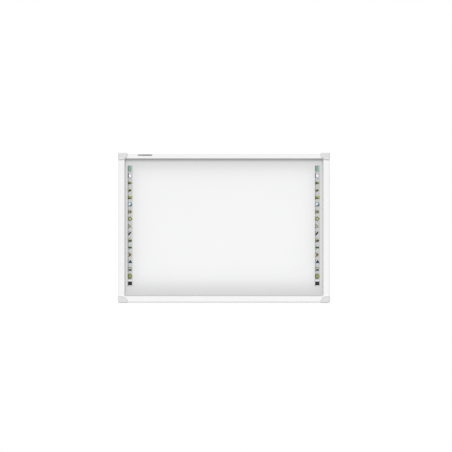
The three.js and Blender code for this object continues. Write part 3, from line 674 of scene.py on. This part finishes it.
def cap_height(p, inner_edge):
    shoulder = rounding(to_outer_edge(p), *CAP_SHOULDER_mm)
    inward = to_polyline(p, inner_edge)
    fillet = rounding(inward, *CAP_ROUND_mm)
    rim_in, rim_out = CAP_RIM_mm
    slope = min(1.0, max(0.0, (inward - rim_in) / (rim_out - rim_in)))
    dish = CAP_DISH_mm * slope * slope * (3 - 2 * slope)
    return CAP_FRONT_mm - max(shoulder + fillet, dish)


def cap_blank():
    """The cap's outside, as rings that close in from its outline to a point on its face."""
    inner_edge = cap_inner_edge()
    side_steps, corner_steps, rings, crowding = 14, 20, 48, 2.0
    corner = arc(CAP_CORNER_mm, CAP_CORNER_mm, CAP_CORNER_mm, 180, 270, corner_steps)
    down_side = [inner_edge[-1].lerp(corner[0], k / side_steps) for k in range(1, side_steps)]
    top_side = [corner[-1].lerp(inner_edge[0], k / side_steps) for k in range(1, side_steps)]
    outline = [*inner_edge, *down_side, *corner, *top_side]
    middle = Vector((27, 23))  # where the rings close in
    count = len(outline)
    vertices = [Vector((p.x, p.y, 0)) for p in outline]
    for ring in range(rings):
        share = (ring / rings) ** crowding
        for p in outline:
            q = p.lerp(middle, share)
            vertices.append(Vector((q.x, q.y, cap_height(q, inner_edge))))
    vertices.append(Vector((middle.x, middle.y, cap_height(middle, inner_edge))))
    faces = [tuple(reversed(range(count)))]
    for ring in range(rings):
        a = ring * count
        for k in range(count):
            after = (k + 1) % count
            faces.append((a + k, a + after, a + count + after, a + count + k))
    last = rings * count
    faces += [(last + k, last + (k + 1) % count, len(vertices) - 1) for k in range(count)]
    return new_object("cap_blank", [v * MM for v in vertices], faces, [])


def rail_space(swap):
    """The room for one rail under a cap. swap turns it from the top rail to the side rail."""
    play, behind = CAP_PLAY_mm, -1.0
    start = TIP_CUT_mm + CAP_SKIN_mm - TIP_PLAY_mm
    low, high, front = CAP_SKIN_mm - play, CAP_SKIN_mm + RAIL_WIDTH_mm + play, RAIL_DEPTH_mm + play
    shoulder = (low, front, EDGE_RADIUS_mm + play)
    section = rounded([(low, behind, 0), (high, behind, 0), (high, front, 0), shoulder], 6)

    def place(p, along):
        return Vector((p.x, along, p.y) if swap else (along, p.x, p.y)) * MM

    return Solids().prism(section, place, start, BEYOND_CAP_mm).build("rail_space", [])


def tip_void():
    """The round void inside a cap's outer corner, in front of the rails' cut tips."""
    radius = CAP_CORNER_mm - CAP_SKIN_mm
    section = disc(CAP_CORNER_mm, CAP_CORNER_mm, radius, steps=48)

    def place(p, forward):
        return Vector((p.x, p.y, forward)) * MM

    return Solids().prism(section, place, -CAP_VOID_mm, CAP_VOID_mm).build("tip_void", [])


def corner_space():
    """The room behind the cap's face where it bulges past the rails' inner edges."""
    inner, far, behind = CAP_SKIN_mm + RAIL_WIDTH_mm, BEYOND_CAP_mm, -1.0
    low, high = Vector((inner, inner, behind)) * MM, Vector((far, far, RAIL_DEPTH_mm + CAP_PLAY_mm)) * MM
    return Solids().box(low, high).build("corner_space", [])


def screw_profile(grow=0.0):
    """Countersunk screw: (radius, height) from its tip to its head, whose face is at 0."""
    head, shank, tip = HEAD_RADIUS_mm + grow, SHANK_RADIUS_mm + grow, 14.0 + grow
    face = -grow * 4
    points = [(0, tip), (shank * 0.45, tip), (shank, tip - 1.4), (shank, 1.9 + grow), (head - 0.15, 0.3)]
    points += [(head, 0.12), (head - 0.08, face), (0, face)]
    return [(r * MM, y * MM) for r, y in points]


def screw_places():
    """How a screw stands in a corner's frame: down through the top or bottom, and in through the side."""
    down = Matrix.Translation(Vector((SCREW_FROM_CORNER_mm, SCREW_SUNK_mm, SCREW_FORWARD_mm)) * MM)
    turn = Matrix.Rotation(math.radians(-90), 4, "Z")
    across = Matrix.Translation(Vector((SCREW_SUNK_mm, SCREW_FROM_CORNER_mm, SCREW_FORWARD_mm)) * MM) @ turn
    return {"end": down, "side": across}


def corner_caps(look):
    places = screw_places()
    seat = Solids().lathe(screw_profile(SEAT_PLAY_mm), 48)
    seats = [seat.build("seat", [], place) for place in places.values()]
    blank = cut(cap_blank(), rail_space(False), rail_space(True), tip_void(), corner_space(), *seats)
    blank.data.materials.clear()
    blank.data.materials.append(look)
    for corner, right, up in CORNERS:
        cap = copy_to_corner(blank, "moulded_cap_" + corner, right, up)
        smooth(cap, 40)
        keep(cap, "cap_grey", "corner_cap_" + corner)
    bpy.data.objects.remove(blank)


def cross_recess(turn):
    """One bar of a screw's cross recess, shorter at its bottom."""
    reach, half_width, depth = 2.1 * MM, 0.45 * MM, 1.5 * MM

    def place(p, level):
        share = 0.55 if level > 0 else 1.0
        return turn @ Vector((p.x * share, level, p.y))

    outline = rectangle(-reach, -half_width, reach, half_width)
    return Solids().prism(outline, place, -0.5 * MM, depth).build("recess", [])


def cap_screws(look):
    blank = Solids().lathe(screw_profile(), 48).build("screw_blank", [look])
    quarter = Matrix.Rotation(math.radians(90), 4, "Y")
    cut(blank, cross_recess(Matrix.Identity(4)), cross_recess(quarter))
    for key, place in screw_places().items():
        placed = blank.copy()
        placed.data = blank.data.copy()
        placed.data.transform(place)
        for corner, right, up in CORNERS:
            screw = copy_to_corner(placed, "screw_" + corner + "_" + key, right, up)
            smooth(screw, 30)
            keep(screw, "fasteners", "cap_screw_" + corner + "_" + key)
        bpy.data.objects.remove(placed)
    bpy.data.objects.remove(blank)


# ---- Touch keys ----
# A symbol is drawn about its key's centre, in millimetres, x to the right and y up.

def disc(x, y, radius, radius_y=None, steps=36):
    return arc(x, y, radius, 0, 360, steps, radius_y)[:-1]


def block(x, y, width, height, radius=1.5):
    return rectangle(x - width / 2, y - height / 2, x + width / 2, y + height / 2, radius, 15)


def stroke(start, end, width):
    """A straight bar with square ends."""
    a, b = Vector(start), Vector(end)
    run = (b - a).normalized()
    side = Vector((-run.y, run.x)) * (width / 2)
    return [a + side, a - side, b - side, b + side]


def band(x, y, inner, outer, start, end, steps=30):
    """A curved stroke between two radii."""
    return arc(x, y, outer, start, end, steps) + arc(x, y, inner, end, start, steps)


def shape(points, radius=0.8):
    return rounded([(x, y, radius) for x, y in points], 20)


INKS = {
    "teal": "799587", "deep_teal": "5f7f70", "pale_teal": "a2b5a9", "white": "ecedee", "slate": "5b6063",
    "pale_grey": "d8d7dc", "olive": "6d7340", "pale_olive": "b3b58e", "dark_olive": "3f4326",
    "lime": "929e36", "leaf": "45562f", "night": "23273c", "haze": "8f9da6", "steel": "566a79",
    "sky": "dfeaee", "brown": "5c5839", "sand": "9f997e", "black": "121210",
    # The last ink here is a painted shade that runs along each key's left side, as if the key were a raised
    # button.
    "key_line": "a4a5a6", "painted_key_shade": "808283",
}


def key_symbols():
    """The seventeen symbols from the top down, as lists of (outline, ink name)."""
    pointer = [(-12, 19), (14, -3), (3, -4), (9, -17), (2, -20), (-3, -7), (-12, -14)]
    return [
        [  # page of a board
            (block(1, 0, 36, 52, 2), "pale_teal"),
            (block(-5, 0, 24, 48, 1), "teal"),
            (block(-14, 0, 5, 44, 0.5), "deep_teal"),
            *[(block(-3, y, 13, 2.5, 0.5), "pale_teal") for y in (10, 0, -10)],
        ],
        [  # pointer
            (shape([(x * 1.34 - 1.5, y * 1.26) for x, y in pointer]), "slate"),
            (shape([(x * 0.90 + 1.2, y * 0.88) for x, y in pointer]), "white"),
        ],
        [  # eraser, seen from the end
            (shape([(-19, -3), (-9, -11), (9, -10), (19, 0), (8, 10), (-14, 10)]), "olive"),
            (shape([(-19, -3), (-9, -11), (2, -10), (-2, 3), (-14, 6)]), "dark_olive"),
            (shape([(4, 8), (8, 9), (17, 0.5), (9, 0)]), "lime"),
        ],
        [  # marker with a wide nib
            (shape([(-16, 17), (1, 18), (10, 8), (2, 2), (-14, 3)]), "pale_olive"),
            (shape([(-18, 3), (2, 8), (12, 5), (10, -7), (-3, -15), (-17, -10)]), "olive"),
            (shape([(-7, 3), (7, 3), (8, -5), (-3, -12), (-9, -8)]), "dark_olive"),
        ],
        [  # highlighter block
            (block(0, -2, 38, 24, 2), "dark_olive"),
            (block(2, 4, 34, 13, 2), "lime"),
            (block(12, -7, 12, 9, 1), "lime"),
            (block(-12, 3, 7, 11, 1), "olive"),
        ],
        [  # globe
            (disc(-0.5, 0, 18.5, 19), "steel"),
            (disc(-3, 0, 15, 17), "haze"),
            (disc(-4, -12, 10, 5), "teal"),
            (disc(-3, 5, 6, 7), "sky"),
            (band(-1, 1, 7, 15, 290, 350), "night"),
        ],
        [  # palette
            (disc(-2, 0, 17, 17), "sand"),
            (disc(-4.5, -1, 13.5, 12), "brown"),
            (disc(-4, 6, 5), "sand"),
            (disc(3, 7, 3), "dark_olive"),
            (disc(8, -3, 5), "dark_olive"),
            (disc(-5, -7, 3), "sand"),
        ],
        [  # diamond
            (shape([(0, 22), (20, 0), (0, -22), (-19, 0)], 1.5), "dark_olive"),
            (shape([(0, 15), (14, 0), (0, -15), (-13, 0)], 1.2), "lime"),
            (shape([(1, 8), (7, 0), (1, -8), (-5, 0)], 0.8), "pale_olive"),
        ],
        [  # crossed tools
            (stroke((-15, -18), (9, 13), 7.5), "sand"),
            (stroke((-14, 15), (9, -13), 7.5), "olive"),
            (disc(-11, -13, 5.5), "brown"),
            (disc(9, 12, 5), "pale_olive"),
        ],
        [  # pencil
            (shape([(-18, -20), (-15, -6), (5, 19), (14, 11), (-5, -15)], 0.6), "black"),
            (shape([(5, 18), (13, 11), (9, 6), (1, 13)], 0.6), "pale_olive"),
            (shape([(-18, -20), (-15, -8), (-8, -15)], 0.3), "olive"),
        ],
        [  # filled curve
            (disc(-3, 5, 15, 13), "sand"),
            (arc(-1, 4, 17, 180, 360, 26, 19), "dark_olive"),
            (arc(-9, 0, 7, 180, 360, 20, 8), "olive"),
        ],
        [  # turn back
            (block(-5, 0, 26, 30, 4), "pale_teal"),
            (shape([(-20, 0), (-5, 15), (-5, 7), (15, 7), (15, -7), (-5, -7), (-5, -15)]), "leaf"),
            (block(1, 0, 18, 9, 1), "dark_olive"),
        ],
        [  # play
            (disc(-4, 0, 16, 20), "sand"),
            (disc(-6, 1, 6, 11), "pale_olive"),
            (shape([(-15, 17), (13, 0), (-15, -17), (-7, 0)]), "dark_olive"),
        ],
        [  # up
            (block(-1, -12, 34, 22, 2), "haze"),
            (shape([(3, 19), (19, -9), (-15, -9)]), "night"),
            (block(2, -17, 24, 4, 0.8), "sky"),
        ],
        [  # lock
            (band(0, 3, 9, 15, 0, 180), "olive"),
            (block(0, -7, 24, 18, 2), "slate"),
            (block(3, -6, 11, 12, 1), "black"),
            (block(0, 2, 30, 3.5, 1), "pale_olive"),
        ],
        [  # ball
            (disc(-1.5, 0, 18.5, 23), "dark_olive"),
            (disc(0, 1, 13.5, 17), "lime"),
            (disc(0, 0, 8.5, 12), "olive"),
            (disc(1, 1, 3, 4.5), "pale_olive"),
        ],
        [  # hourglass
            (block(0, 20, 34, 13, 1.5), "pale_grey"),
            (block(2, -19, 34, 8, 1.5), "pale_grey"),
            (shape([(-20, 16), (20, 16), (14, 0), (20, -16), (-20, -16), (-14, 0)], 1.2), "black"),
        ],
    ]


def key_column(side, film_look, ink_looks):
    """A printed film with its symbols, each ink a thin layer on the one below."""
    node = "key_strip_" + side
    low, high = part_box(node)
    middle = (low + high) / 2
    width, height = high.x - low.x, high.z - low.z
    outline = rectangle(-width / 2, -height / 2, width / 2, height / 2, 3 * MM)

    def on_strip(p, y):
        return Vector((middle.x + p.x, y, middle.z + p.y))

    film = Solids().prism(outline, on_strip, low.y, high.y).build("key_film_" + side, [film_look])
    soften(film, 0.08 * MM, 1)
    keep(film, "key_strip", node)

    layer, gap = 0.06 * MM, 0.002 * MM
    names = list(INKS)
    inks = Solids()

    def print_shape(points, up_mm, level, ink_name):
        back = low.y - level * layer
        placed = [Vector((p.x, p.y + up_mm)) * MM for p in points]
        inks.prism(placed, on_strip, back - layer, back - gap, names.index(ink_name))

    # A painted shade along each key's left side, as if each key stood proud of the flat film.
    shade = (block(-15.5, 0, 9, 44, 2), "painted_key_shade")  # along each key's left side
    for number, symbol in enumerate(key_symbols()):
        centre = ((KEY_COUNT - 1) / 2 - number) * KEY_PITCH_mm
        for level, (points, ink_name) in enumerate([shade, *symbol]):
            print_shape(points, centre, level, ink_name)
    for number in range(KEY_COUNT - 1):
        between = ((KEY_COUNT - 2) / 2 - number) * KEY_PITCH_mm
        print_shape(block(0, 0, 36, 0.8, 0.3), between, 0, "key_line")
    symbols = inks.build("key_symbols_" + side, [ink_looks[name] for name in names])
    keep(symbols, "key_strip")


# ---- Badge ----

def badge(plate_look, mark_look):
    """A blank plate, with a plain dot and bar inlaid in it."""
    low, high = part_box("badge")
    middle = (low + high) / 2
    width, height = (high.x - low.x) / MM, (high.z - low.z) / MM

    def on_plate(p, y):
        return Vector((middle.x + p.x * MM, y, middle.z + p.y * MM))

    inlay, gap = 0.1 * MM, 0.002 * MM
    solids = Solids().prism(block(0, 0, width, height, 3), on_plate, low.y + inlay, high.y)
    plate = solids.build("badge_plate", [plate_look])
    soften(plate, 0.15 * MM)
    keep(plate, "badge", "badge")
    marks = Solids()
    dot, bar = disc(-width / 2 + 12, 0, 3.6), block(8, 0, width - 36, 4.4, 2.1)
    for points in (dot, bar):
        marks.prism(points, on_plate, low.y, low.y + inlay - gap)
    keep(marks.build("badge_inlay", [mark_look]), "badge")


# ---- Wall brackets and bumpers ----

def bracket(name, look):
    """Pressed sheet steel: a plate for the wall, an arm, and a tongue turned up into the rail's channel."""
    node = "bracket_" + name
    low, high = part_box(node)
    steel, tongue, bend, inner_bend, edge = 2.5, 2.6, 3.2, 0.9, 0.35
    arm = -low.y / MM
    if name.startswith("upper"):
        top, plate_end, slots = high.z - tongue * MM, -70, (-26, -54)
        corners = [
            (plate_end, 0, edge), (0, 0, bend), (0, arm - steel, inner_bend), (tongue, arm - steel, edge),
            (tongue, arm, edge), (-steel, arm, bend), (-steel, steel, inner_bend), (plate_end, steel, edge),
        ]
    else:
        top, plate_end, slots = low.z + steel * MM, 70, (26, 54)
        corners = [
            (plate_end, 0, edge), (-steel, 0, bend), (-steel, arm, bend), (tongue, arm, edge),
            (tongue, arm - steel, edge), (0, arm - steel, inner_bend), (0, steel, inner_bend),
            (plate_end, steel, edge),
        ]

    def place(p, x):
        return Vector((x, -p.y * MM, top + p.x * MM))

    sheet = Solids().prism(rounded(corners, 10), place, low.x, high.x).build("wall_bracket_" + name, [look])
    middle = (low.x + high.x) / 2

    def on_wall(p, y):
        return Vector((middle + p.x * MM, y, top + p.y * MM))

    holes = [Solids().prism(block(0, slot, 22, 6.5, 3.2), on_wall, -5 * MM, 2 * MM) for slot in slots]
    cut(sheet, *[hole.build("slot", []) for hole in holes])
    soften(sheet, 0.3 * MM, 2, 50)
    smooth(sheet, 35)
    keep(sheet, "bracket_zinc", node, body="hook_" + name)


def bumper(name, look):
    """A rubber foot with a dished face."""
    node = "bumper_" + name
    low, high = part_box(node)
    radius, depth, edge, chamfer = (high.x - low.x) / 2, high.y - low.y, 1.2 * MM, 0.3 * MM
    face_round = arc(radius - edge, depth - edge, edge, 0, 90, 6)
    profile = [(0, 0), (radius - chamfer, 0), (radius, chamfer), *face_round]
    profile += [(radius * 0.55, depth), (radius * 0.45, depth - 0.4 * MM), (0, depth - 0.5 * MM)]
    middle = (low + high) / 2
    place = Matrix.Translation((middle.x, low.y, middle.z))
    foot = Solids().lathe(profile, 48).build("rubber_foot_" + name, [look], place)
    smooth(foot, 50)
    keep(foot, "bumper_rubber", node)


# ---- Socket ----

def socket(shell_look, tongue_look):
    """A USB-B socket: a folded shell with two corners cut off its mouth, and a tongue inside."""
    low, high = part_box("usb_socket")
    middle = (low + high) / 2
    half_x, half_y = (high.x - low.x) / 2, (high.y - low.y) / 2

    def place(p, z):
        return Vector((middle.x + p.x, middle.y + p.y, z))

    shell_outline = rectangle(-half_x, -half_y, half_x, half_y, 0.8 * MM, 15)
    x, y, chamfer = 4.2 * MM, 3.8 * MM, 1.6 * MM
    mouth = [(-x, y), (-x, -y + chamfer), (-x + chamfer, -y), (x - chamfer, -y), (x, -y + chamfer), (x, y)]
    shell = Solids().prism(shell_outline, place, low.z, high.z).build("socket_shell", [shell_look])
    depth = low.z + 9.4 * MM
    hole = Solids().prism([Vector(p) for p in mouth], place, low.z - MM, depth).build("mouth", [])
    cut(shell, hole)
    soften(shell, 0.15 * MM, 2, 50)
    smooth(shell, 40)
    keep(shell, "socket_shell", "usb_socket")

    tongue = Solids()
    root = depth - 0.02 * MM
    tongue.prism([p * MM for p in block(0, 0, 5.6, 3.2, 0.3)], place, depth - 7 * MM, root)
    for s in (-1, 1):
        for t in (-1, 1):
            contact = [p * MM for p in block(s * 1.25, t * 1.68, 0.9, 0.16, 0.05)]
            tongue.prism(contact, place, depth - 6.5 * MM, root, 1)
    keep(tongue.build("socket_tongue", [tongue_look, shell_look]), "socket_shell")


# ---- Carried-over CAD nodes ----

def dress(node, look, rounds=0.0, segments=2):
    """Gives a CAD node its material, and small rounds along its edges."""
    obj = frame["nodes"][node]
    obj.data.materials.clear()
    obj.data.materials.append(look)
    if rounds:
        soften(obj, rounds, segments)


# ---- Stage ----

def key_light(elevation, azimuth, spread, strength):
    """A big soft lamp, far off above and a little to one side. Angles in degrees, and strength in W/m2."""
    data = bpy.data.lights.new("key_light", "SUN")
    data.angle = math.radians(spread)
    data.energy = strength
    light = in_scene(bpy.data.objects.new("key_light", data))
    up, across = math.radians(elevation), math.radians(azimuth)
    towards = Vector((math.sin(across) * math.cos(up), -math.cos(across) * math.cos(up), math.sin(up)))
    light.rotation_euler = towards.to_track_quat("Z", "Y").to_euler()


def surface_light(receivers):
    """A soft box close to the writing surface, which lights only what is printed or written on."""
    data = bpy.data.lights.new("surface_light", "AREA")
    data.shape = "RECTANGLE"
    data.size, data.size_y = 1.50, 0.96
    data.energy = 1.82
    light = in_scene(bpy.data.objects.new("surface_light", data))
    distance, above_middle = 0.07, 0.01
    light.location = (0, SURFACE_Y - distance, above_middle)
    light.rotation_euler = Vector((0, 1, 0)).to_track_quat("-Z", "Y").to_euler()
    light.visible_camera = light.visible_glossy = False
    group = bpy.data.collections.new("lit_by_surface_light")
    for obj in receivers:
        group.objects.link(obj)
    light.light_linking.receiver_collection = group


def world(seen, ambient):
    """Plain white behind the object, and an even, dimmer light from all round it."""
    made = bpy.data.worlds.new("studio")
    made.use_nodes = True
    tree = made.node_tree
    mix = tree.nodes.new("ShaderNodeMixShader")
    path = tree.nodes.new("ShaderNodeLightPath")
    tree.links.new(path.outputs["Is Camera Ray"], mix.inputs["Fac"])
    backgrounds = (tree.nodes["Background"], tree.nodes.new("ShaderNodeBackground"))
    for node, strength, socket in zip(backgrounds, (ambient, seen), mix.inputs[1:]):
        node.inputs["Color"].default_value = (1, 1, 1, 1)
        node.inputs["Strength"].default_value = strength
        tree.links.new(node.outputs[0], socket)
    tree.links.new(mix.outputs[0], tree.nodes["World Output"].inputs["Surface"])
    bpy.context.scene.world = made


def studio_floor():
    """A plain pale floor, well below the wall-mounted board."""
    level, half = -2.9, 4.0
    look = Look("studio_floor")
    colour = look.blend(look.noise(1.5, 2.0), (0.62, 0.62, 0.62, 1), (0.66, 0.66, 0.66, 1))
    look.finish(colour, 0.7)
    corners = [(-half, -half, level), (half, -half, level), (half, half, level), (-half, half, level)]
    floor = new_object("floor", corners, [(0, 1, 2, 3)], [look.material])


def camera():
    """Square on to the board, very nearly at its middle. view_width is what it sees at the rails' front."""
    data = bpy.data.cameras.new("camera")
    data.sensor_width, data.lens = 36.0, 80.0
    data.clip_end = 60.0
    made = in_scene(bpy.data.objects.new("camera", data))
    view_width, right, up = 3.710, 0.0164, 0.0123
    distance = view_width / (data.sensor_width / data.lens)
    made.location = (right, RAILS_FRONT - distance, up)
    made.rotation_euler = (math.radians(90), 0, 0)
    bpy.context.scene.camera = made


# ---- Build ----

def build_frame():
    coat = powder_coat()
    for side in SIDE_TURNS:
        rail(side, coat)
    cap_look, infill_look, casting = moulded_grey(), infill_white(), cast_aluminium()
    zinc, smoke, jacket = zinc_plate(), smoke_filter(), lead_jacket()
    corner_caps(cap_look)
    cap_screws(zinc)
    for corner, _, _ in CORNERS:
        dress("corner_infill_" + corner, infill_look, 0.5 * MM, 3)
        dress("corner_key_" + corner, casting, 0.4 * MM)
    for side in SIDE_TURNS:
        dress("filter_" + side, smoke, 0.2 * MM)
    for node in frame["nodes"]:
        if node.startswith("corner_lead_") or node == "controller_lead":
            dress(node, jacket)
    socket(zinc, matte_rubber())
    return zinc


def build_electronics():
    front = RAIL_BACK - LAMP_PCB_FRONT_mm * MM
    for node in ("emitter_board_top", "emitter_board_left", "receiver_board_right", "receiver_board_bottom"):
        dress(node, circuit_board("mask_" + node, front), 0.1 * MM, 1)
    front = RAIL_BACK - CONTROLLER_PCB_FRONT_mm * MM
    dress("controller_board", circuit_board("mask_controller", front), 0.1 * MM, 1)


def build_board():
    dress("writing_surface", writing_face(), 0.15 * MM)
    dress("panel_core", honeycomb_core(), 0.3 * MM)
    dress("back_sheet", galvanised(), 0.15 * MM)
    ink_looks = {name: ink(name, colour) for name, colour in INKS.items()}
    for side in ("left", "right"):
        low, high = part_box("key_strip_" + side)
        key_column(side, key_film("key_film_" + side, low, high), ink_looks)
    badge(brushed_badge(), ink("badge_mark", "5a5d60"))


def build_mountings(zinc):
    nylon, rubber = natural_nylon(), matte_rubber()
    for level in ("upper", "lower"):
        for side in ("left", "right"):
            name = level + "_" + side
            bracket(name, zinc)
            dress("glide_" + name, nylon, 0.4 * MM)
            bumper(name, rubber)


def build_stage():
    camera()
    world(seen=1.0, ambient=0.575)
    studio_floor()
    key_light(elevation=56, azimuth=-7, spread=30, strength=2.27)
    printed = ("key_film_left", "key_film_right", "key_symbols_left", "key_symbols_right")
    surface_light([frame["nodes"]["writing_surface"], *[bpy.data.objects[name] for name in printed]])
    bpy.context.scene.view_settings.view_transform = "Standard"


build_mountings(build_frame())
build_electronics()
build_board()
build_stage()
